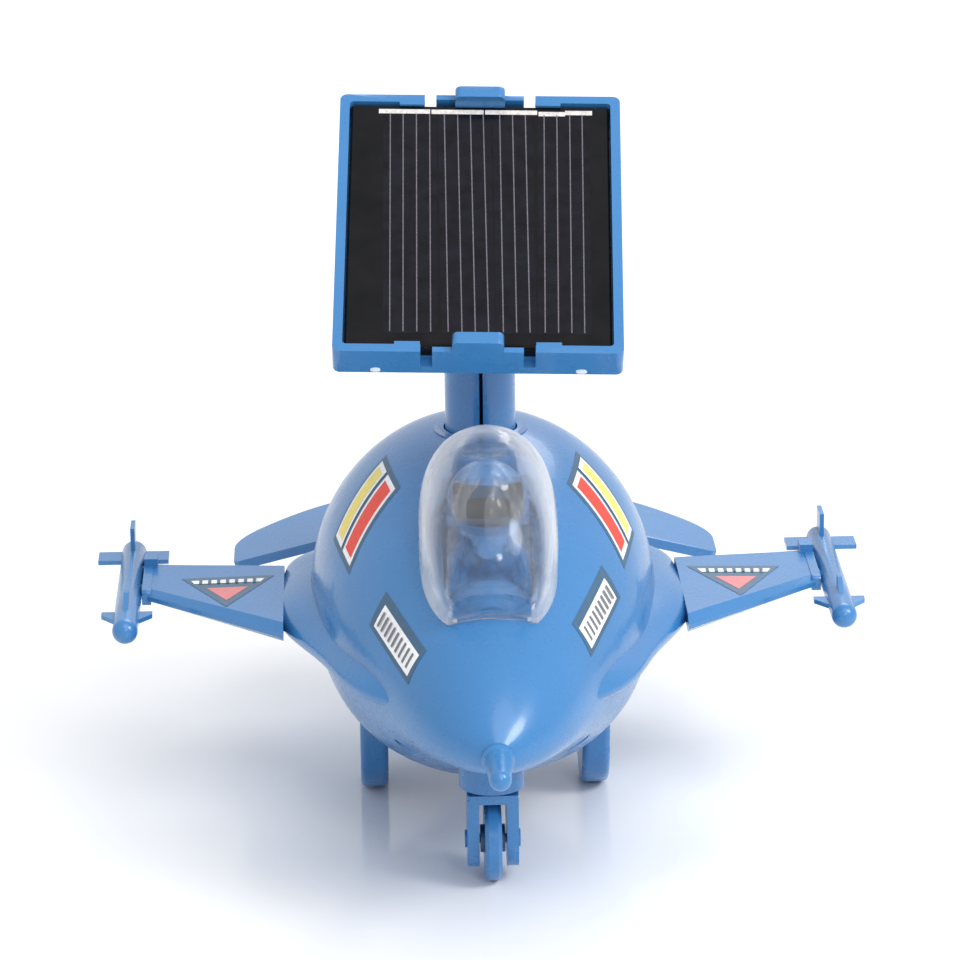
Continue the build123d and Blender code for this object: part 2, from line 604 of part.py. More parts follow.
with BuildPart() as oxygen_mask:
    with BuildSketch(across(HEAD_Y - 3.5, HEAD_Z - 7.3)):
        RectangleRounded(9.0, 5.6, 2.4)
    with BuildSketch(across(HEAD_Y - 10.1, HEAD_Z - 7.6)):
        RectangleRounded(5.2, 4.2, 1.9)
    loft()
    with BuildSketch(Plane(origin=(0, HEAD_Y - 7.9, HEAD_Z - 8.9), z_dir=(0, 0.35, -1))):
        Circle(1.5)
    extrude(amount=4.2)
    add(visor_ball, mode=Mode.SUBTRACT)
    add(visor.part, mode=Mode.SUBTRACT)
    add(pilot_body.part, mode=Mode.SUBTRACT)
    add(helmet.part, mode=Mode.SUBTRACT)
save(oxygen_mask.part.solids().sort_by(SortBy.VOLUME)[-1], "oxygen_mask")

# ---- canopy: clear one-piece dome that stands on the shell, hinged behind the seat ----------
chord = Vector(0, HINGE_Y - SILL_FRONT_Y, HINGE_Z - SILL_FRONT_Z).normalized()


def canopy_block(stations, thinner, skirt):
    """Solid dome over the hinge-to-front line, its sides running straight down by skirt."""
    with BuildPart() as dome:
        for along, half, height in stations:
            origin = Vector(0, SILL_FRONT_Y, SILL_FRONT_Z) + chord * along
            with BuildSketch(Plane(origin=origin, x_dir=(1, 0, 0), z_dir=-chord)):
                with BuildLine():
                    EllipticalCenterArc((0, 0), half - thinner, height - thinner,
                                        start_angle=0, arc_size=180)
                    Polyline((thinner - half, 0), (thinner - half, -skirt),
                             (half - thinner, -skirt), (half - thinner, 0))
                make_face()
        loft()
    return dome.part


inner_stations = list(CANOPY)
inner_stations[0] = (CANOPY[0][0] + CANOPY_WALL, *CANOPY[0][1:])
inner_stations[-1] = (CANOPY[-1][0] - CANOPY_WALL, *CANOPY[-1][1:])
canopy_air = canopy_block(inner_stations, CANOPY_WALL, 14)
KNUCKLE_R = 1.75
with BuildPart() as canopy:
    add(canopy_block(CANOPY, 0, 12))
    add(canopy_air, mode=Mode.SUBTRACT)
    add(hull_block(-0.3), mode=Mode.SUBTRACT)
    add(cockpit_outline(1.15, 50) & hull_block(-1.1), mode=Mode.SUBTRACT)
    with BuildSketch(side(-20)):
        with BuildLine():
            Polyline((HINGE_Y - 2.6, 60), (HINGE_Y - 2.6, HINGE_Z - KNUCKLE_R),
                     (HINGE_Y + 12, HINGE_Z - KNUCKLE_R), (HINGE_Y + 12, 60), close=True)
        make_face()
    extrude(amount=40, mode=Mode.SUBTRACT)
    # hinge barrel between the lugs
    with BuildSketch(side(-LUG_X + LUG_W / 2 + 0.3)):
        with Locations((HINGE_Y, HINGE_Z)):
            Circle(KNUCKLE_R)
        with Locations((HINGE_Y - 2.0, HINGE_Z + 0.3)):
            Rectangle(4.0, 1.8)
    extrude(amount=2 * LUG_X - LUG_W - 0.6)
    with BuildSketch(side(-20)):
        with Locations((HINGE_Y, HINGE_Z)):
            Circle(PIN_R + 0.06)
    extrude(amount=40, mode=Mode.SUBTRACT)
save(canopy.part, "canopy")

with BuildPart() as canopy_pin:
    with BuildSketch(side(-LUG_X - LUG_W / 2 - 0.3)):
        with Locations((HINGE_Y, HINGE_Z)):
            Circle(PIN_R)
    extrude(amount=2 * LUG_X + LUG_W + 0.6)
save(canopy_pin.part, "canopy_pin")

# ---- mast: hollow post with a wire slit and a ball, its retainer ring and screws ------------
SHOULDER_Z, NECK_Z = 101.0, 107.9
neck_top = BALL_Z - (BALL_R ** 2 - MAST_NECK_R ** 2) ** 0.5
bore_top = BALL_Z + (BALL_R ** 2 - MAST_BORE_R ** 2) ** 0.5
with BuildPart() as mast:
    with BuildSketch(Plane(origin=(0, MAST_Y, 0), x_dir=(1, 0, 0), z_dir=(0, -1, 0))):
        with BuildLine():
            Polyline((MAST_BORE_R, bore_top), (MAST_BORE_R, MAST_FLANGE_TOP - 2),
                     (MAST_FLANGE_R, MAST_FLANGE_TOP - 2), (MAST_FLANGE_R, MAST_FLANGE_TOP),
                     (MAST_R, MAST_FLANGE_TOP), (MAST_R, SHOULDER_Z), (MAST_NECK_R, NECK_Z),
                     (MAST_NECK_R, neck_top))
            ThreePointArc((MAST_NECK_R, neck_top), (BALL_R, BALL_Z), (MAST_BORE_R, bore_top))
        make_face()
    revolve(axis=Axis((0, MAST_Y, 0), (0, 0, 1)))
    with BuildSketch(Plane.XY.offset(MAST_FLANGE_TOP - 2.5)):
        with Locations((0, MAST_Y - 6)):
            Rectangle(0.8, 12)
    extrude(amount=SHOULDER_Z - MAST_FLANGE_TOP + 2.5, mode=Mode.SUBTRACT)
save(mast.part, "mast")

RETAINER_TOP = MAST_FLANGE_TOP - 2.1
with BuildPart() as mast_retainer:
    with BuildSketch(Plane.XY.offset(RETAINER_TOP)):
        with Locations((0, MAST_Y)):
            Circle(MAST_FLANGE_R)
            SlotOverall(2 * POST_X + 5.6, 5.6)
            Circle(3.0, mode=Mode.SUBTRACT)
        with Locations((POST_X, MAST_Y), (-POST_X, MAST_Y)):
            Circle(1.1, mode=Mode.SUBTRACT)
    extrude(amount=-2.0)
save(mast_retainer.part, "mast_retainer")

with BuildPart() as retainer_screws:
    with BuildSketch(Plane.XY.offset(RETAINER_TOP - 2.0)):
        with Locations((POST_X, MAST_Y), (-POST_X, MAST_Y)):
            Circle(1.8)
    extrude(amount=-1.3)
    with BuildSketch(Plane.XY.offset(RETAINER_TOP - 2.1)):
        with Locations((POST_X, MAST_Y), (-POST_X, MAST_Y)):
            Circle(0.9)
    extrude(amount=4.4)
save(retainer_screws.part, "retainer_screws")

# ---- panel: ball socket, tray with two sprung hooks, and the solar cell ---------------------
tilt, roll = radians(PANEL_TILT), radians(PANEL_ROLL)
panel = Plane(origin=(0, MAST_Y, BALL_Z), z_dir=(0, -sin(tilt), cos(tilt)),
              x_dir=(cos(roll), -sin(roll) * cos(tilt), -sin(roll) * sin(tilt)))
socket_ball = panel.location * Sphere(BALL_R + SOCKET_GAP)
CUP_RIM, CUP_TOP, FLANGE_T, CUP_R = -2.4, 4.6, 2.5, 12.0
PAD_TOP = CUP_TOP + FLANGE_T
with BuildPart() as ball_socket:
    with BuildSketch(panel.offset(CUP_RIM)):
        Circle(CUP_R)
    extrude(amount=CUP_TOP - CUP_RIM)
    chamfer(ball_socket.edges().group_by(SortBy.LENGTH)[-1], 0.6)
    with BuildSketch(panel.offset(CUP_TOP)):
        RectangleRounded(27, 27, 0.8)
    extrude(amount=FLANGE_T)
    add(socket_ball, mode=Mode.SUBTRACT)
    # notches that let the rim spring over the ball
    with BuildSketch(panel.offset(CUP_RIM)):
        Rectangle(2.4, 40)
        Rectangle(40, 2.4)
    extrude(amount=4.6, mode=Mode.SUBTRACT)
save(ball_socket.part, "ball_socket")

RIM = TRAY_BACK + TRAY_DEPTH
PLATE_T, CELL_BASE = 1.8, 14.0
HOOK_W, HOOK_L, HOOK_RISE, HOOK_R = 10.9, 3.1, 2.9, 1.3
HOOK_UNDER = CELL_BASE + CELL_T + 0.15
TAB_W, TAB_SLOT, TAB_THIN = 19.2, 2.5, 0.7
LIP_X, LIP_W, LIP_REACH = 14.9, 5.4, 0.8
inner_w, inner_h = TRAY_W - 2 * TRAY_WALL, TRAY_H - 2 * TRAY_WALL


def hook(end):
    """Hook at one end of the tray that reaches over the cell."""
    with BuildPart() as piece:
        with BuildSketch(panel.offset(HOOK_UNDER)):
            with Locations((0, end * (TRAY_H - HOOK_L) / 2)):
                Rectangle(HOOK_W, HOOK_L)
        extrude(amount=RIM + HOOK_RISE - HOOK_UNDER)
        long_edges = piece.edges().filter_by(Axis(panel.origin, panel.y_dir))
        fillet(long_edges.sort_by(Axis(panel.origin, panel.z_dir))[-2:], HOOK_R)
    return piece.part


with BuildPart() as panel_tray:
    with BuildSketch(panel.offset(PAD_TOP)):
        RegularPolygon(13.0, 6, major_radius=False)
    extrude(amount=TRAY_BACK - PAD_TOP)
    with BuildSketch(panel.offset(TRAY_BACK)):
        RectangleRounded(TRAY_W, TRAY_H, 1.6)
    extrude(amount=TRAY_DEPTH)
    with BuildSketch(panel.offset(CELL_BASE)):
        RectangleRounded(inner_w, inner_h, 0.8)
    extrude(amount=10, mode=Mode.SUBTRACT)
    with BuildSketch(panel.offset(TRAY_BACK + PLATE_T)):
        RectangleRounded(inner_w - 3, inner_h - 3, 0.8)
    extrude(amount=10, mode=Mode.SUBTRACT)
    # each end wall: a thinner springy tab between two slots, two lips, a hook, a window below it
    for end in (1, -1):
        with BuildSketch(panel.offset(RIM - 4.9)):
            with Locations(((TAB_W + TAB_SLOT) / 2, end * (TRAY_H - TRAY_WALL) / 2),
                           (-(TAB_W + TAB_SLOT) / 2, end * (TRAY_H - TRAY_WALL) / 2)):
                Rectangle(TAB_SLOT, TRAY_WALL + 0.2)
        extrude(amount=8, mode=Mode.SUBTRACT)
        with BuildSketch(panel.offset(CELL_BASE)):
            with Locations((0, end * ((inner_h + TAB_THIN) / 2))):
                Rectangle(TAB_W, TAB_THIN)
        extrude(amount=8, mode=Mode.SUBTRACT)
        with BuildSketch(panel.offset(HOOK_UNDER)):
            with Locations((LIP_X, end * (inner_h - LIP_REACH + 0.2) / 2),
                           (-LIP_X, end * (inner_h - LIP_REACH + 0.2) / 2)):
                Rectangle(LIP_W, LIP_REACH + 0.2)
        extrude(amount=RIM - HOOK_UNDER)
        add(hook(end))
        with BuildSketch(panel.offset(TRAY_BACK - 0.1)):
            with Locations((0, end * (TRAY_H / 2 - 5.6))):
                Rectangle(11.5, 3.2)
        extrude(amount=6, mode=Mode.SUBTRACT)
    add(socket_ball, mode=Mode.SUBTRACT)
    with BuildSketch(panel.offset(PAD_TOP - 1)):
        Circle(MAST_BORE_R)
    extrude(amount=10, mode=Mode.SUBTRACT)
save(panel_tray.part, "panel_tray")

with BuildPart() as solar_cell:
    with BuildSketch(panel.offset(CELL_BASE + 0.02)):
        RectangleRounded(CELL_W, CELL_H, 0.6)
    extrude(amount=CELL_T)
    chamfer(solar_cell.faces().sort_by(Axis(panel.origin, panel.z_dir))[-1].edges(), 0.5)
save(solar_cell.part, "solar_cell")

# ---- steering nose wheel ---------------------------------------------------------------------
with BuildPart() as caster_fork:
    with BuildSketch(Plane.XY.offset(FORK_TOP - 2.0)):
        with Locations((0, CASTER_Y)):
            RectangleRounded(FORK_W, FORK_L, 0.8)
    extrude(amount=2.0)
    for x in (-FORK_W / 2, FORK_GAP / 2):
        with BuildSketch(side(x)):
            with BuildLine():
                RadiusArc((CASTER_Y + FORK_L / 2, CASTER_R), (CASTER_Y - FORK_L / 2, CASTER_R),
                          FORK_L / 2)
                Polyline((CASTER_Y - FORK_L / 2, CASTER_R), (CASTER_Y - FORK_L / 2, FORK_TOP - 1),
                         (CASTER_Y + FORK_L / 2, FORK_TOP - 1), (CASTER_Y + FORK_L / 2, CASTER_R))
            make_face()
        extrude(amount=(FORK_W - FORK_GAP) / 2)
    with BuildSketch(Plane.XY.offset(FORK_TOP)):
        with Locations((0, CASTER_Y)):
            Circle(4.75)
    extrude(amount=0.4)
    with BuildSketch(Plane.XY.offset(FORK_TOP)):
        with Locations((0, CASTER_Y)):
            Circle(STEM_R)
    extrude(amount=31.2 - FORK_TOP)
    with BuildSketch(Plane.XY.offset(24)):
        with Locations((0, CASTER_Y)):
            Circle(1.2)
    extrude(amount=10, mode=Mode.SUBTRACT)
    with BuildSketch(side(-10)):
        with Locations((CASTER_Y, CASTER_R)):
            Circle(1.0)
    extrude(amount=20, mode=Mode.SUBTRACT)
save(caster_fork.part, "caster_fork")

with BuildPart() as caster_wheel:
    with BuildSketch(side(-CASTER_W / 2)):
        with Locations((CASTER_Y, CASTER_R)):
            Circle(CASTER_R)
    extrude(amount=CASTER_W)
    chamfer(caster_wheel.edges().filter_by(GeomType.CIRCLE), 0.8)
    with BuildSketch(side(-2.65)):
        with Locations((CASTER_Y, CASTER_R)):
            Circle(3.0)
    extrude(amount=5.3)
    with BuildSketch(side(-10)):
        with Locations((CASTER_Y, CASTER_R)):
            Circle(1.06)
    extrude(amount=20, mode=Mode.SUBTRACT)
save(caster_wheel.part, "caster_wheel")

with BuildPart() as caster_axle:
    with BuildSketch(side(-FORK_W / 2 - 0.5)):
        with Locations((CASTER_Y, CASTER_R)):
            Circle(1.0)
    extrude(amount=FORK_W + 1.0)
    for x in (-FORK_W / 2 - 0.5, FORK_W / 2):
        with BuildSketch(side(x)):
            with Locations((CASTER_Y, CASTER_R)):
                Circle(1.9)
        extrude(amount=0.5)
save(caster_axle.part, "caster_axle")

with BuildPart() as caster_screw:
    with BuildSketch(Plane.XY.offset(31.2)):
        with Locations((0, CASTER_Y)):
            Circle(4.2)
    extrude(amount=1.6)
    with BuildSketch(Plane.XY.offset(24.5)):
        with Locations((0, CASTER_Y)):
            Circle(1.2)
    extrude(amount=7.0)
    with BuildSketch(Plane.XY.offset(32.8)):
        with Locations((0, CASTER_Y)):
            Rectangle(4.0, 0.8)
            Rectangle(0.8, 4.0)
    extrude(amount=-0.8, mode=Mode.SUBTRACT)
save(caster_screw.part, "caster_screw")

# ---- rear axle, wheels and bushes ------------------------------------------------------------
AXLE_HALF = 26.6
with BuildPart() as rear_axle:
    with BuildSketch(side(-AXLE_HALF)):
        with Locations((AXLE_Y, AXLE_Z)):
            Circle(AXLE_R)
    extrude(amount=2 * AXLE_HALF)
save(rear_axle.part, "rear_axle")

for flip, name in ((1, "rear_wheel_left"), (-1, "rear_wheel_right")):
    with BuildPart() as rear_wheel:
        with BuildSketch(side(flip * WHEEL_X - WHEEL_W / 2)):
            with Locations((AXLE_Y, AXLE_Z)):
                Circle(WHEEL_R)
        extrude(amount=WHEEL_W)
        fillet(rear_wheel.edges().filter_by(GeomType.CIRCLE), 1.4)
        with BuildSketch(side(flip * (WHEEL_X - WHEEL_W / 2))):
            with Locations((AXLE_Y, AXLE_Z)):
                Circle(AXLE_R)
        extrude(amount=flip * (AXLE_HALF - WHEEL_X + WHEEL_W / 2), mode=Mode.SUBTRACT)
    save(rear_wheel.part, name)

for flip, name in ((1, "axle_bush_left"), (-1, "axle_bush_right")):
    with BuildPart() as axle_bush:
        with BuildSketch(side(flip * RIB_X - 1.7)):
            with Locations((AXLE_Y, AXLE_Z)):
                Circle(BUSH_R)
                Circle(AXLE_R + 0.05, mode=Mode.SUBTRACT)
        extrude(amount=3.4)
    save(axle_bush.part, name)

# ---- gear train: pinion, compound gear, idler, axle gear ------------------------------------
TIP, ROOT = 0.40, 0.62
GEAR_X, GEAR_T = -1.5, 3.0      # plane of the axle gear, idler and small compound gear
BIG_X, BIG_T = 2.0, 2.6         # plane of the pinion and the large compound gear


def pitch(teeth):
    """Pitch radius."""
    return MODULE * teeth / 2


def step(start, reach, angle):
    """Point at a distance and angle (0 = +Y, 90 = +Z) from a start point in a side plane."""
    return (start[0] + reach * cos(radians(angle)), start[1] + reach * sin(radians(angle)))


axle_at = (AXLE_Y, AXLE_Z)
idler_at = step(axle_at, pitch(AXLE_TEETH) + pitch(IDLER_TEETH) + 0.05, 125)
compound_at = step(idler_at, pitch(IDLER_TEETH) + pitch(SMALL_TEETH) + 0.05, 140)
pinion_at = step(compound_at, pitch(BIG_TEETH) + pitch(PINION_TEETH) + 0.05, 105)


def meshing_phase(teeth, centre, phase, next_teeth, next_centre):
    """Phase of the next gear so that its gap faces the first gear's tooth."""
    line = atan2(next_centre[1] - centre[1], next_centre[0] - centre[0])
    return line + pi + teeth / next_teeth * (line - phase) + pi / next_teeth


def gear_outline(teeth, centre, phase):
    """Corner points of a straight-flanked spur gear, in a side plane."""
    r = pitch(teeth)
    flank = [(r - ROOT, -0.46), (r, -0.33), (r + TIP, -0.16), (r + TIP, 0.16), (r, 0.33),
             (r - ROOT, 0.46)]
    return [(centre[0] + radius * cos(phase + 2 * pi * n / teeth + half / radius),
             centre[1] + radius * sin(phase + 2 * pi * n / teeth + half / radius))
            for n in range(teeth) for radius, half in flank]


def spur(teeth, centre, phase, x, thickness):
    """Spur gear blank with teeth, starting at x."""
    with BuildPart() as gear:
        with BuildSketch(side(x)):
            with BuildLine():
                Polyline(*gear_outline(teeth, centre, phase), close=True)
            make_face()
        extrude(amount=thickness)
    return gear.part


def bore(x, centre, radius, length):
    """Cylinder along X used as a bore or a pin."""
    with BuildPart() as rod:
        with BuildSketch(side(x)):
            with Locations(centre):
                Circle(radius)
        extrude(amount=length)
    return rod.part


axle_phase = 0.0
idler_phase = meshing_phase(AXLE_TEETH, axle_at, axle_phase, IDLER_TEETH, idler_at)
compound_phase = meshing_phase(IDLER_TEETH, idler_at, idler_phase, SMALL_TEETH, compound_at)
pinion_phase = meshing_phase(BIG_TEETH, compound_at, compound_phase, PINION_TEETH, pinion_at)
GEAR_PIN_R = 0.75
FRAME_LEFT, FRAME_RIGHT, FRAME_T = -3.4, 5.1, 1.4

with BuildPart() as axle_gear:
    add(spur(AXLE_TEETH, axle_at, axle_phase, GEAR_X, GEAR_T))
    add(bore(GEAR_X - 1, axle_at, AXLE_R, 6), mode=Mode.SUBTRACT)
save(axle_gear.part, "axle_gear")

with BuildPart() as idler_gear:
    add(spur(IDLER_TEETH, idler_at, idler_phase, GEAR_X, GEAR_T))
    add(bore(GEAR_X, idler_at, 2.0, BIG_X + BIG_T - GEAR_X))
    add(bore(GEAR_X - 1, idler_at, GEAR_PIN_R + 0.05, 9), mode=Mode.SUBTRACT)
save(idler_gear.part, "idler_gear")

with BuildPart() as compound_gear:
    add(spur(SMALL_TEETH, compound_at, compound_phase, GEAR_X, BIG_X - GEAR_X + 0.5))
    add(spur(BIG_TEETH, compound_at, compound_phase, BIG_X, BIG_T))
    add(bore(GEAR_X - 1, compound_at, GEAR_PIN_R + 0.05, 9), mode=Mode.SUBTRACT)
save(compound_gear.part, "compound_gear")

with BuildPart() as motor_pinion:
    add(spur(PINION_TEETH, pinion_at, pinion_phase, BIG_X, BIG_T))
    add(bore(BIG_X - 1, pinion_at, GEAR_PIN_R, 6), mode=Mode.SUBTRACT)
save(motor_pinion.part, "motor_pinion")

with BuildPart() as gear_pins:
    add(bore(FRAME_LEFT, idler_at, GEAR_PIN_R, FRAME_RIGHT + FRAME_T - FRAME_LEFT))
    add(bore(FRAME_LEFT, compound_at, GEAR_PIN_R, FRAME_RIGHT + FRAME_T - FRAME_LEFT))
save(gear_pins.part, "gear_pins")

# ---- gearbox frame: two plates, a front bridge and two feet ----------------------------------
SCREW_REACH, MOTOR_SCREW_R = 6.5, 0.8
motor_screws_at = [(pinion_at[0] - SCREW_REACH, pinion_at[1]),
                   (pinion_at[0] + SCREW_REACH, pinion_at[1])]
with BuildPart() as gearbox_frame:
    for x in (FRAME_LEFT, FRAME_RIGHT):
        with BuildSketch(side(x)):
            with BuildLine():
                Polyline((-1.5, 22), (-1.5, 46), (17, 46), (22.5, 30), (27.3, 19), (27.3, 16.2),
                         (25.6, 14.4), (23, 14.4), (20.5, 17), (14, 22), close=True)
            make_face()
        extrude(amount=FRAME_T)
    with BuildSketch(side(FRAME_LEFT)):
        with Locations((-0.8, 34.5)):
            Rectangle(1.4, 21)
    extrude(amount=FRAME_RIGHT + FRAME_T - FRAME_LEFT)
    with BuildSketch(Plane.XY.offset(FRAME_PAD_TOP + 0.05)):
        with Locations((FRAME_LEFT - 2.8, 2), (FRAME_RIGHT + FRAME_T + 2.8, 2)):
            Rectangle(6.0, 6.0)
    extrude(amount=1.5)
    with BuildSketch(Plane.XY.offset(FRAME_PAD_TOP - 1)):
        with Locations(*FRAME_PADS):
            Circle(1.1)
    extrude(amount=4, mode=Mode.SUBTRACT)
    add(bore(FRAME_LEFT - 1, axle_at, AXLE_R + 0.09, 14), mode=Mode.SUBTRACT)
    add(bore(FRAME_LEFT - 1, idler_at, GEAR_PIN_R, 14), mode=Mode.SUBTRACT)
    add(bore(FRAME_LEFT - 1, compound_at, GEAR_PIN_R, 14), mode=Mode.SUBTRACT)
    add(bore(FRAME_LEFT - 1, pinion_at, 3.05, 3), mode=Mode.SUBTRACT)
    for spot in motor_screws_at:
        add(bore(FRAME_LEFT - 1, spot, MOTOR_SCREW_R + 0.1, 3), mode=Mode.SUBTRACT)
save(gearbox_frame.part, "gearbox_frame")

with BuildPart() as gearbox_screws:
    with BuildSketch(Plane.XY.offset(FRAME_PAD_TOP + 1.55)):
        with Locations(*FRAME_PADS):
            Circle(1.9)
    extrude(amount=1.3)
    with BuildSketch(Plane.XY.offset(FRAME_PAD_TOP + 1.6)):
        with Locations(*FRAME_PADS):
            Circle(0.95)
    extrude(amount=-6.5)
save(gearbox_screws.part, "gearbox_screws")

# ---- motor -----------------------------------------------------------------------------------
MOTOR_FACE = FRAME_LEFT - 0.05
with BuildPart() as motor:
    add(bore(MOTOR_FACE - MOTOR_L, pinion_at, MOTOR_R, MOTOR_L))
    fillet(motor.edges().filter_by(GeomType.CIRCLE), 1.2)
    add(bore(MOTOR_FACE - 0.1, pinion_at, 3.0, 1.3))
    add(bore(MOTOR_FACE - MOTOR_L - 1.0, pinion_at, 3.0, 1.2))
    # two terminals on the back
    with BuildSketch(side(MOTOR_FACE - MOTOR_L - 1.5)):
        with Locations((pinion_at[0] - 7, pinion_at[1] + 4), (pinion_at[0] + 7, pinion_at[1] + 4)):
            Rectangle(2.2, 0.6)
    extrude(amount=2.0)
    add(bore(MOTOR_FACE - MOTOR_L + 0.5, pinion_at, GEAR_PIN_R + 0.05, 16), mode=Mode.SUBTRACT)
    for spot in motor_screws_at:
        add(bore(MOTOR_FACE - 3, spot, MOTOR_SCREW_R, 4), mode=Mode.SUBTRACT)
save(motor.part, "motor")

save(bore(MOTOR_FACE - MOTOR_L + 0.7, pinion_at, GEAR_PIN_R, MOTOR_L - 0.65 + 8.2), "motor_shaft")

with BuildPart() as motor_screws:
    for spot in motor_screws_at:
        add(bore(FRAME_LEFT + FRAME_T, spot, 1.4, 0.8))
        add(bore(MOTOR_FACE - 2.5, spot, MOTOR_SCREW_R, 4.4))
save(motor_screws.part, "motor_screws")
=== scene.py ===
import json
from math import cos, radians, sin

import bmesh
import bpy
from mathutils import Matrix, Vector
from mathutils.bvhtree import BVHTree


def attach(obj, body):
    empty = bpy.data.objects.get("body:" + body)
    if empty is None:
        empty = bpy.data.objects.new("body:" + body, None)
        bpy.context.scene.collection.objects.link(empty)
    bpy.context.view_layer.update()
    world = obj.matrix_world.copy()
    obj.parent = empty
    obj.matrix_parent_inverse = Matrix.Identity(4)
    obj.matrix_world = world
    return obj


MM = 0.001

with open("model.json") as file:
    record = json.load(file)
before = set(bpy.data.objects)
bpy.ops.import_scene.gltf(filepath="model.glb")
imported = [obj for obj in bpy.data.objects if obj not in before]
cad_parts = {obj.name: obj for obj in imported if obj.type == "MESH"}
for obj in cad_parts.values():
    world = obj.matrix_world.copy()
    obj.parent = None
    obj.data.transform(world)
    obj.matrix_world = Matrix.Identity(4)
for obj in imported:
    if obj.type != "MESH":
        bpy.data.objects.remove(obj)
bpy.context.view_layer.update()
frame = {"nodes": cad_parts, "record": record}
nodes = frame["nodes"]

# ---- camera, lights and floor -----------------------------------------------------------------
AZIMUTH, ELEVATION, ROLL = -1.66, 17.17, -0.74      # degrees
DISTANCE, LENS = 1.0024, 173.6                      # metres, millimetres
AIM = Vector((-0.0007, 0.0, 0.0784))
CLIP_END = 20                                       # metres
WORLD_COLOR, WORLD_STRENGTH = (0.97, 0.98, 1.0, 1), 0.82
FLOOR_SIZE, FLOOR_COLOR, FLOOR_ROUGHNESS = 12, (0.92, 0.92, 0.925), 0.14
SKY_LIGHT = ("ceiling", 25, 60, 44, 0.85)           # azimuth, elevation, spread, strength
AREA_LIGHTS = [                                     # azimuth, elevation, distance, size, power
    ("key", 58, 40, 0.9, 0.34, 3.4),
    ("front", 14, 26, 1.2, 0.16, 1.3),
    ("rim", 168, 40, 1.0, 0.6, 2.5)]


def view_direction(azimuth, elevation):
    """Unit vector from the object towards a camera at that azimuth and elevation."""
    az, el = radians(azimuth), radians(elevation)
    return Vector((sin(az) * cos(el), -cos(az) * cos(el), sin(el)))


def place_camera():
    data = bpy.data.cameras.new("camera")
    data.lens = LENS
    data.clip_end = CLIP_END
    camera = bpy.data.objects.new("camera", data)
    bpy.context.collection.objects.link(camera)
    back = view_direction(AZIMUTH, ELEVATION)
    turn = back.to_track_quat("Z", "Y").to_matrix().to_4x4() @ Matrix.Rotation(radians(ROLL), 4, "Z")
    camera.matrix_world = Matrix.Translation(AIM + DISTANCE * back) @ turn
    bpy.context.scene.camera = camera


def area_light(name, azimuth, elevation, distance, size, power):
    data = bpy.data.lights.new(name, "AREA")
    data.shape = "DISK"
    data.size = size
    data.energy = power
    light = bpy.data.objects.new(name, data)
    bpy.context.collection.objects.link(light)
    back = view_direction(azimuth, elevation)
    light.matrix_world = Matrix.Translation(AIM + distance * back) @ back.to_track_quat(
        "Z", "Y").to_matrix().to_4x4()


def sky_light(name, azimuth, elevation, spread, strength):
    """Very soft light of even strength over the whole floor."""
    data = bpy.data.lights.new(name, "SUN")
    data.angle = radians(spread)
    data.energy = strength
    light = bpy.data.objects.new(name, data)
    bpy.context.collection.objects.link(light)
    light.matrix_world = view_direction(azimuth, elevation).to_track_quat("Z", "Y").to_matrix(
    ).to_4x4()


def make_world():
    world = bpy.data.worlds.new("studio")
    world.use_nodes = True
    background = world.node_tree.nodes["Background"]
    background.inputs["Color"].default_value = WORLD_COLOR
    background.inputs["Strength"].default_value = WORLD_STRENGTH
    bpy.context.scene.world = world
    bpy.context.scene.view_settings.view_transform = "Standard"


def make_floor():
    bpy.ops.mesh.primitive_plane_add(size=FLOOR_SIZE, location=(0, 0, 0))
    floor = bpy.context.object
    floor.name = "floor"
    shader = Shader("floor_white", FLOOR_COLOR, FLOOR_ROUGHNESS)
    floor.data.materials.append(shader.material)


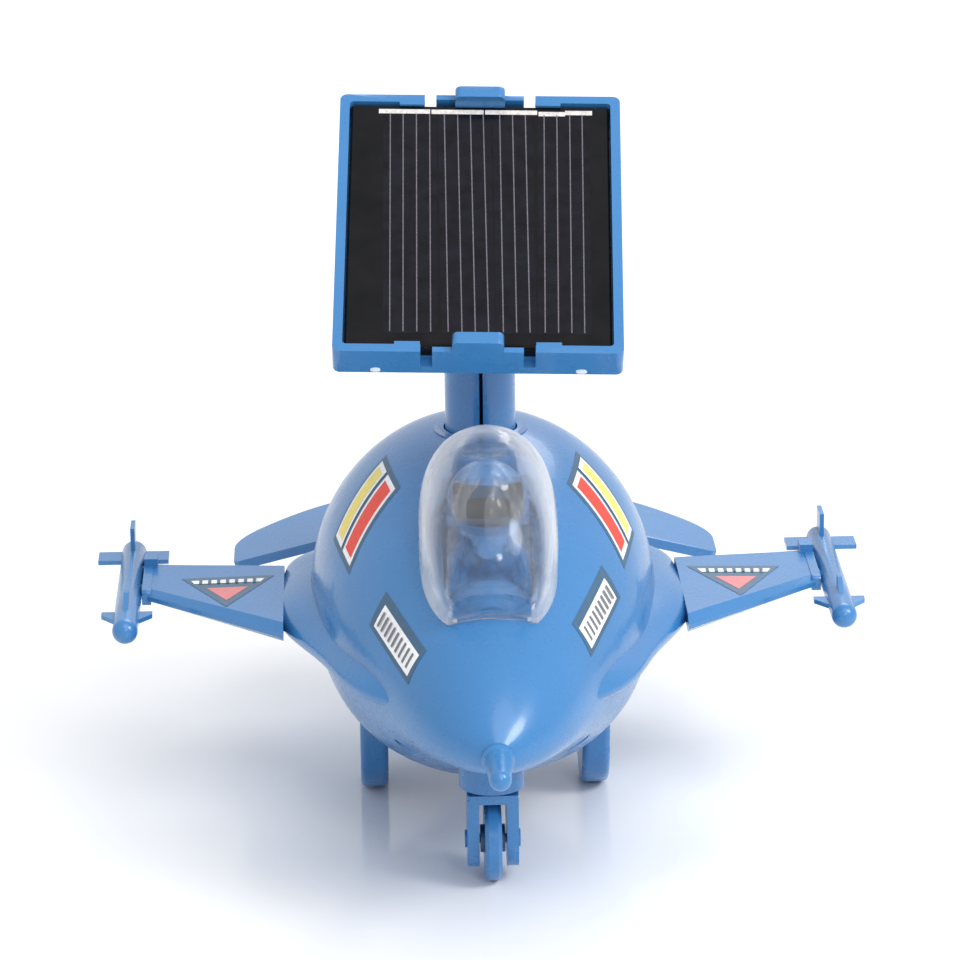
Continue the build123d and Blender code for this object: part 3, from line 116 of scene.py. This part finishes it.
# ---- materials --------------------------------------------------------------------------------
class Shader:
    """A Principled material whose colour, roughness and bump come from noise over the object."""

    def __init__(self, name, color, roughness):
        self.material = bpy.data.materials.new(name)
        self.material.use_nodes = True
        self.tree = self.material.node_tree
        self.main = self.tree.nodes["Principled BSDF"]
        self.main.inputs["Base Color"].default_value = (*color, 1)
        self.main.inputs["Roughness"].default_value = roughness
        self.color = color
        self.coords = self.node("ShaderNodeTexCoord").outputs["Object"]

    def node(self, kind, **values):
        made = self.tree.nodes.new(kind)
        for name, value in values.items():
            setattr(made, name, value)
        return made

    def link(self, output, target):
        self.tree.links.new(output, target)

    def noise(self, scale, detail=3.0, distortion=0.0):
        made = self.node("ShaderNodeTexNoise")
        made.inputs["Scale"].default_value = scale
        made.inputs["Detail"].default_value = detail
        made.inputs["Distortion"].default_value = distortion
        self.link(self.coords, made.inputs["Vector"])
        return made.outputs["Fac"]

    def ramp(self, source, low, high, first, last):
        """Colour that runs from first to last as source goes from low to high."""
        made = self.node("ShaderNodeValToRGB")
        made.color_ramp.elements[0].position = low
        made.color_ramp.elements[1].position = high
        made.color_ramp.elements[0].color = (*first, 1)
        made.color_ramp.elements[1].color = (*last, 1)
        self.link(source, made.inputs["Fac"])
        return made.outputs["Color"]

    def vary_color(self, scale, spread):
        """Base colour drifts by spread, as a fraction, in patches of 1/scale metres."""
        darker = [c * (1 - spread) for c in self.color]
        lighter = [min(1.0, c * (1 + spread)) for c in self.color]
        self.link(self.ramp(self.noise(scale), 0.3, 0.7, darker, lighter),
                  self.main.inputs["Base Color"])

    def vary_roughness(self, scale, low, high):
        made = self.node("ShaderNodeMapRange")
        made.inputs["To Min"].default_value = low
        made.inputs["To Max"].default_value = high
        self.link(self.noise(scale, 5.0), made.inputs["Value"])
        self.link(made.outputs["Result"], self.main.inputs["Roughness"])

    def bump(self, scale, height, strength=0.4):
        """Noise relief of that height in metres."""
        made = self.node("ShaderNodeBump")
        made.inputs["Strength"].default_value = strength
        made.inputs["Distance"].default_value = height
        self.link(self.noise(scale, 2.0), made.inputs["Height"])
        self.link(made.outputs["Normal"], self.main.inputs["Normal"])


def moulded(name, color, roughness=0.27, coat=0.25):
    """Injection-moulded plastic: faint flow marks, slightly uneven gloss, a fine skin."""
    shader = Shader(name, color, roughness)
    shader.vary_color(40, 0.045)
    shader.vary_roughness(260, roughness - 0.05, roughness + 0.07)
    shader.bump(700, 0.000006, 0.3)
    shader.main.inputs["Coat Weight"].default_value = coat
    shader.main.inputs["Coat Roughness"].default_value = 0.08
    shader.main.inputs["IOR"].default_value = 1.53
    return shader.material


def metal(name, color, roughness):
    """Turned or drawn metal: fine streaks in the gloss."""
    shader = Shader(name, color, roughness)
    shader.main.inputs["Metallic"].default_value = 1.0
    shader.vary_color(900, 0.08)
    shader.vary_roughness(2600, roughness - 0.08, roughness + 0.1)
    shader.bump(5000, 0.00001, 0.3)
    return shader.material


def clear_plastic():
    """Clear styrene: water-clear face on, with a painted white reflection towards its edges, faint
    moulding ripples.
    """
    shader = Shader("clear_plastic", (0.95, 0.97, 1.0), 0.03)
    edge = shader.node("ShaderNodeLayerWeight")
    edge.inputs["Blend"].default_value = 0.5
    # painted reflection: transmission falls as the surface turns edge-on, so the rim shows diffuse
    # white in place of reflected light
    clear = shader.node("ShaderNodeMapRange")
    clear.inputs["From Min"].default_value = 0.4
    clear.inputs["From Max"].default_value = 0.95
    clear.inputs["To Min"].default_value = 0.97
    clear.inputs["To Max"].default_value = 0.15
    shader.link(edge.outputs["Facing"], clear.inputs["Value"])
    shader.link(clear.outputs["Result"], shader.main.inputs["Transmission Weight"])
    shader.main.inputs["IOR"].default_value = 1.40
    shader.main.inputs["Alpha"].default_value = 0.68
    shader.vary_roughness(60, 0.01, 0.035)
    shader.bump(60, 0.0001, 0.1)
    return shader.material


def mirrored_black():
    """Visor: black high gloss with fine rub marks."""
    shader = Shader("visor_black", (0.006, 0.006, 0.008), 0.05)
    shader.vary_color(400, 0.4)
    shader.vary_roughness(700, 0.03, 0.1)
    shader.main.inputs["Coat Weight"].default_value = 1.0
    shader.main.inputs["Coat Roughness"].default_value = 0.03
    return shader.material


def cell_epoxy():
    """Solar module: deep blue-black silicon under poured epoxy with tiny bubbles."""
    shader = Shader("cell_epoxy", (0.004, 0.004, 0.005), 0.1)
    shader.vary_color(140, 0.5)
    shader.vary_roughness(500, 0.07, 0.2)
    shader.bump(90, 0.0001, 0.2)
    shader.main.inputs["IOR"].default_value = 1.3
    return shader.material


def printed(name, color, roughness=0.4):
    """Sticker ink: almost even, with a slight grain."""
    shader = Shader(name, color, roughness)
    shader.vary_color(900, 0.07)
    shader.vary_roughness(1200, roughness - 0.06, roughness + 0.08)
    shader.bump(2500, 0.00001, 0.3)
    return shader.material


MATERIALS = {
    "blue_abs": moulded("blue_abs", (0.036, 0.190, 0.450)),
    "clear_plastic": clear_plastic(),
    "visor_black": mirrored_black(),
    "cell": cell_epoxy(),
    "white_nylon": moulded("white_nylon", (0.80, 0.79, 0.74), 0.42, 0.0),
    "steel": metal("steel", (0.56, 0.56, 0.58), 0.28),
    "brass": metal("brass", (0.72, 0.50, 0.20), 0.3),
}
INK = {
    "white": printed("ink_white", (0.86, 0.87, 0.88)),
    "red": printed("ink_red", (0.78, 0.055, 0.03)),
    "yellow": printed("ink_yellow", (0.86, 0.70, 0.16)),
    "navy": printed("ink_navy", (0.045, 0.115, 0.20)),
    "teal": printed("ink_teal", (0.045, 0.17, 0.24)),
    "grey": printed("ink_grey", (0.16, 0.17, 0.19)),
    "rose": printed("ink_rose", (0.72, 0.20, 0.20)),
}


def paint_nodes():
    for entry in frame["record"]["subparts"]:
        mesh = nodes[entry["node"]].data
        mesh.materials.clear()
        mesh.materials.append(MATERIALS[entry["material_slot"]])


SOFT_NODES = ["panel_tray", "caster_fork", "wing_left", "wing_right", "missile_left",
              "missile_right", "tailplane_left", "tailplane_right", "ball_socket"]
SOFT_WIDTH = 0.25 * MM
SOFT_ANGLE = radians(50)                            # sharper edges than this are softened
WELD_GAP = 1e-6                                     # metres


def soften_edges():
    """Small moulded radius on the sharp edges of the soft nodes."""
    for name in SOFT_NODES:
        node = nodes[name]
        weld = node.modifiers.new("weld", "WELD")
        weld.merge_threshold = WELD_GAP
        bevel = node.modifiers.new("bevel", "BEVEL")
        bevel.width = SOFT_WIDTH
        bevel.segments = 2
        bevel.limit_method = "ANGLE"
        bevel.angle_limit = SOFT_ANGLE
        bevel.harden_normals = True


# ---- stickers ---------------------------------------------------------------------------------
STICKER_CUTS = 3                                    # times each triangle of a layer is divided
STICKER_LIFT, LAYER_STEP = 0.08, 0.04               # mm above the surface, and per layer
CAST_FROM, CAST_REACH = 0.03, 0.08                  # metres, along the line pressed down

# centres in mm in the CAD frame: x is mirrored for the other side
SHOULDER_CENTER = (26.0, -3.8, 72.8)
PLATE_CENTER = {"left": (23.4, -36.6, 60.2), "right": (20.9, -44.8, 58.1)}
REAR_CENTER = (27.5, 50.0, 61.5)
WING_CENTER = (56.6, 16.2, 48.5)


def flat_mesh(outline, cuts):
    """Triangle mesh of a flat outline, cut finely enough to follow a curved surface."""
    work = bmesh.new()
    work.faces.new([work.verts.new((x, y, 0)) for x, y in outline])
    bmesh.ops.triangulate(work, faces=work.faces[:])
    for _ in range(cuts):
        bmesh.ops.subdivide_edges(work, edges=work.edges[:], cuts=1, use_grid_fill=True)
        bmesh.ops.triangulate(work, faces=work.faces[:])
    return work


def surface_of(name):
    work = bmesh.new()
    work.from_mesh(nodes[name].data)
    tree = BVHTree.FromBMesh(work)
    work.free()
    return tree


def sticker(name, target, center, along, up, outward, layers):
    """Layers of (ink, outline in mm) pressed on a node's surface; along and up span the outline."""
    x_axis = Vector(along).normalized()
    y_axis = (Vector(up) - x_axis * x_axis.dot(Vector(up))).normalized()
    z_axis = x_axis.cross(y_axis)
    if z_axis.dot(Vector(outward)) < 0:
        z_axis.negate()
    tree = surface_of(target)
    merged = bmesh.new()
    mesh = bpy.data.meshes.new(name)
    for level, (ink, outline) in enumerate(layers):
        work = flat_mesh(outline, STICKER_CUTS)
        lift = (STICKER_LIFT + LAYER_STEP * level) * MM
        for vert in work.verts:
            flat = (Vector(center) + x_axis * vert.co.x + y_axis * vert.co.y) * MM
            hit = tree.ray_cast(flat + z_axis * CAST_FROM, -z_axis, CAST_REACH)[0]
            vert.co = (hit if hit else flat) + z_axis * lift
        for face in work.faces:
            face.material_index = level
            face.smooth = True
        part = bpy.data.meshes.new("layer")
        work.to_mesh(part)
        merged.from_mesh(part)
        bpy.data.meshes.remove(part)
        work.free()
        mesh.materials.append(INK[ink])
    merged.to_mesh(mesh)
    merged.free()
    piece = bpy.data.objects.new(name, mesh)
    bpy.context.collection.objects.link(piece)
    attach(piece, "fuselage")


def on_side(center, side):
    """The centre, mirrored in X for side -1."""
    return (center[0] * side, center[1], center[2])


def slanted(x, y, width, height, lean):
    """Parallelogram about (x, y)."""
    half, rise = width / 2, height / 2
    return [(x - half - lean / 2, y - rise), (x + half - lean / 2, y - rise),
            (x + half + lean / 2, y + rise), (x - half + lean / 2, y + rise)]


def place_stickers():
    shoulder = [
        ("navy", slanted(1.5, 0, 18.0, 19.5, 12.5)),
        ("white", slanted(-2.6, 0, 7.4, 17.2, 11.0)),
        ("red", slanted(-2.6, 0, 5.4, 15.0, 9.6)),
        ("white", slanted(5.8, 0, 6.6, 17.2, 11.0)),
        ("yellow", slanted(5.8, 0, 4.4, 15.0, 9.6))]
    plate = [("navy", slanted(0.6, 0.4, 23.2, 7.6, 2.4)), ("white", slanted(0, 0, 19.8, 4.9, 1.2))]
    plate += [("grey", slanted(-8.0 + 2.0 * n, 0, 0.85, 3.2, 0.8)) for n in range(9)]
    rear = [("teal", slanted(0, 0, 24.0, 5.6, 0))]
    rear += [("yellow", slanted(-8.6 + 2.9 * n, 0, 1.7, 2.8, 1.2)) for n in range(7)]
    wing = [
        ("navy", [(-10.4, 11.0), (0, -9.6), (10.4, 11.0)]),
        ("rose", [(-4.6, 3.6), (0, -5.4), (4.6, 3.6)]),
        ("white", [(-7.4, 6.6), (7.4, 6.6), (8.2, 9.0), (-8.2, 9.0)])]
    wing += [("navy", slanted(-6.0 + 2.0 * n, 7.8, 0.7, 2.6, 0)) for n in range(7)]
    for side, hand in ((1, "left"), (-1, "right")):
        out = Vector((side, 0, 0))
        sticker(f"shoulder_bars_{hand}", "upper_shell", on_side(SHOULDER_CENTER, side),
                (0.13 * side, 0.98, 0.08), (-0.7 * side, 0, 0.7), out, shoulder)
        sticker(f"side_plate_{hand}", "upper_shell", on_side(PLATE_CENTER[hand], side),
                (0.31 * side, 0.92, 0.24), (-0.5 * side, 0, 0.8), out, plate)
        sticker(f"rear_plate_{hand}", "upper_shell", on_side(REAR_CENTER, side),
                (-0.36 * side, 0.92, -0.12), (-0.5 * side, 0, 0.86), out, rear)
        sticker(f"wing_mark_{hand}", f"wing_{hand}", on_side(WING_CENTER, side),
                (1, 0, 0), (0, 1, 0), (0, 0, 1), wing)


# ---- solar cell print -------------------------------------------------------------------------
PANEL_TILT = radians(34.2)                          # the panel's lean at rest, as in the CAD
PANEL_ROLL = radians(-2.3)
CELL_TOP, CELL_LIFT = 17.22, 0.03                   # mm: print above the ball centre, per layer
STRIP_MARGIN = 1.5                                  # mm of silicon beside the outer fingers
STRIP_FOOT, FINGER_FOOT, STRIP_HEAD = -31.2, -30.7, 31.9
FINGER_HALF, BUS_HALF = 0.12, 0.65                  # half widths, mm
# each strip: the x of its fingers at the upper end, and how far they shift at the lower end
STRIPS = [((-19.6, -16.8, -13.9, -11.0), 1.0), ((-7.8, -4.9, -2.1, 0.7), 1.5),
          ((4.3, 7.1, 9.9), 1.0), ((14.0, 16.8, 19.6, 22.3), 0.1)]
# each bus bar: its two ends in x, and its height up the cell
BUS_BARS = [(-22.1, -10.9, 32.5), (-10.6, 0.8, 32.45), (1.1, 12.5, 32.45),
            (12.8, 18.6, 32.1), (18.6, 24.5, 32.5)]
GATE_MARKS = [(-21.5, 1.0), (21.8, 1.15)]           # x along an end wall, and width
GATE_Y, GATE_HEIGHT, GATE_RADIUS = 36.82, 11.95, 1.15
GATE_DEPTH, GATE_RISE = 0.2, 0.62                   # flattening along y and in height
GATE_RIPPLE = 0.00008                               # metres
pivot = Vector(next(j for j in frame["record"]["behaviour"]["joints"]
                    if j["name"] == "panel_tilt")["pos_m"])
panel_matrix = (Matrix.Translation(pivot) @ Matrix.Rotation(PANEL_TILT, 4, "X")
                @ Matrix.Rotation(PANEL_ROLL, 4, "Z"))


def panel_piece(name, quads, height, material):
    """Thin flat quads, each four (x, y) corners in mm, lying over the cell."""
    mesh = bpy.data.meshes.new(name)
    work = bmesh.new()
    for quad in quads:
        work.faces.new([work.verts.new(panel_matrix @ (Vector((x, y, height)) * MM))
                        for x, y in quad])
    work.to_mesh(mesh)
    work.free()
    mesh.materials.append(material)
    piece = bpy.data.objects.new(name, mesh)
    bpy.context.collection.objects.link(piece)
    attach(piece, "panel")


def print_cell():
    """Four silicon strips with fine silver fingers, and the bus bars along the upper edge."""
    silicon = Shader("silicon", (0.005, 0.005, 0.009), 0.16)
    silicon.vary_color(260, 0.5)
    silicon.vary_roughness(900, 0.12, 0.24)
    silicon.main.inputs["IOR"].default_value = 1.3
    silver = Shader("silver_print", (0.13, 0.115, 0.14), 0.5)
    silver.vary_color(3000, 0.35)
    silver.vary_roughness(1500, 0.4, 0.6)
    tinned = Shader("tinned_bus", (0.66, 0.62, 0.60), 0.4)
    tinned.vary_color(1200, 0.2)
    tinned.vary_roughness(1500, 0.3, 0.5)
    tinned.bump(2500, 0.00005, 0.5)
    strips, lines, buses = [], [], []
    for places, shift in STRIPS:
        left, right = places[0] - STRIP_MARGIN, places[-1] + STRIP_MARGIN
        strips.append([(left + shift, STRIP_FOOT), (right + shift, STRIP_FOOT),
                       (right, STRIP_HEAD), (left, STRIP_HEAD)])
        for x in places:
            low = x + shift
            lines.append([(low - FINGER_HALF, FINGER_FOOT), (low + FINGER_HALF, FINGER_FOOT),
                          (x + FINGER_HALF, STRIP_HEAD), (x - FINGER_HALF, STRIP_HEAD)])
    for left, right, y in BUS_BARS:
        buses.append([(left, y - BUS_HALF), (right, y - BUS_HALF),
                      (right, y + BUS_HALF), (left, y + BUS_HALF)])
    panel_piece("cell_strips", strips, CELL_TOP + CELL_LIFT, silicon.material)
    panel_piece("cell_fingers", lines, CELL_TOP + 2 * CELL_LIFT, silver.material)
    panel_piece("cell_bus_bars", buses, CELL_TOP + 2 * CELL_LIFT, tinned.material)


def gate_marks():
    """Whitened stubs where the tray left its mould, two on each end wall."""
    chalk = moulded("gate_white", (0.72, 0.82, 0.9), 0.5, 0.0)
    mesh = bpy.data.meshes.new("gate_marks")
    work = bmesh.new()
    for end in (-1, 1):
        for x, wide in GATE_MARKS:
            stub = Matrix.Diagonal((wide, GATE_DEPTH, GATE_RISE, 1))
            place = panel_matrix @ Matrix.Translation(
                Vector((x, end * GATE_Y, GATE_HEIGHT)) * MM) @ stub
            blob = bmesh.ops.create_icosphere(work, subdivisions=3, radius=GATE_RADIUS * MM,
                                              matrix=place)
            for vert in blob["verts"]:
                wave = Vector((sin(vert.co.x * 9000), cos(vert.co.z * 7000), 0))
                vert.co += wave * GATE_RIPPLE
    for face in work.faces:
        face.smooth = True
    work.to_mesh(mesh)
    work.free()
    mesh.materials.append(chalk)
    piece = bpy.data.objects.new("gate_marks", mesh)
    bpy.context.collection.objects.link(piece)
    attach(piece, "panel")


place_camera()
make_world()
make_floor()
sky_light(*SKY_LIGHT)
for light_values in AREA_LIGHTS:
    area_light(*light_values)
paint_nodes()
soften_edges()
place_stickers()
print_cell()
gate_marks()
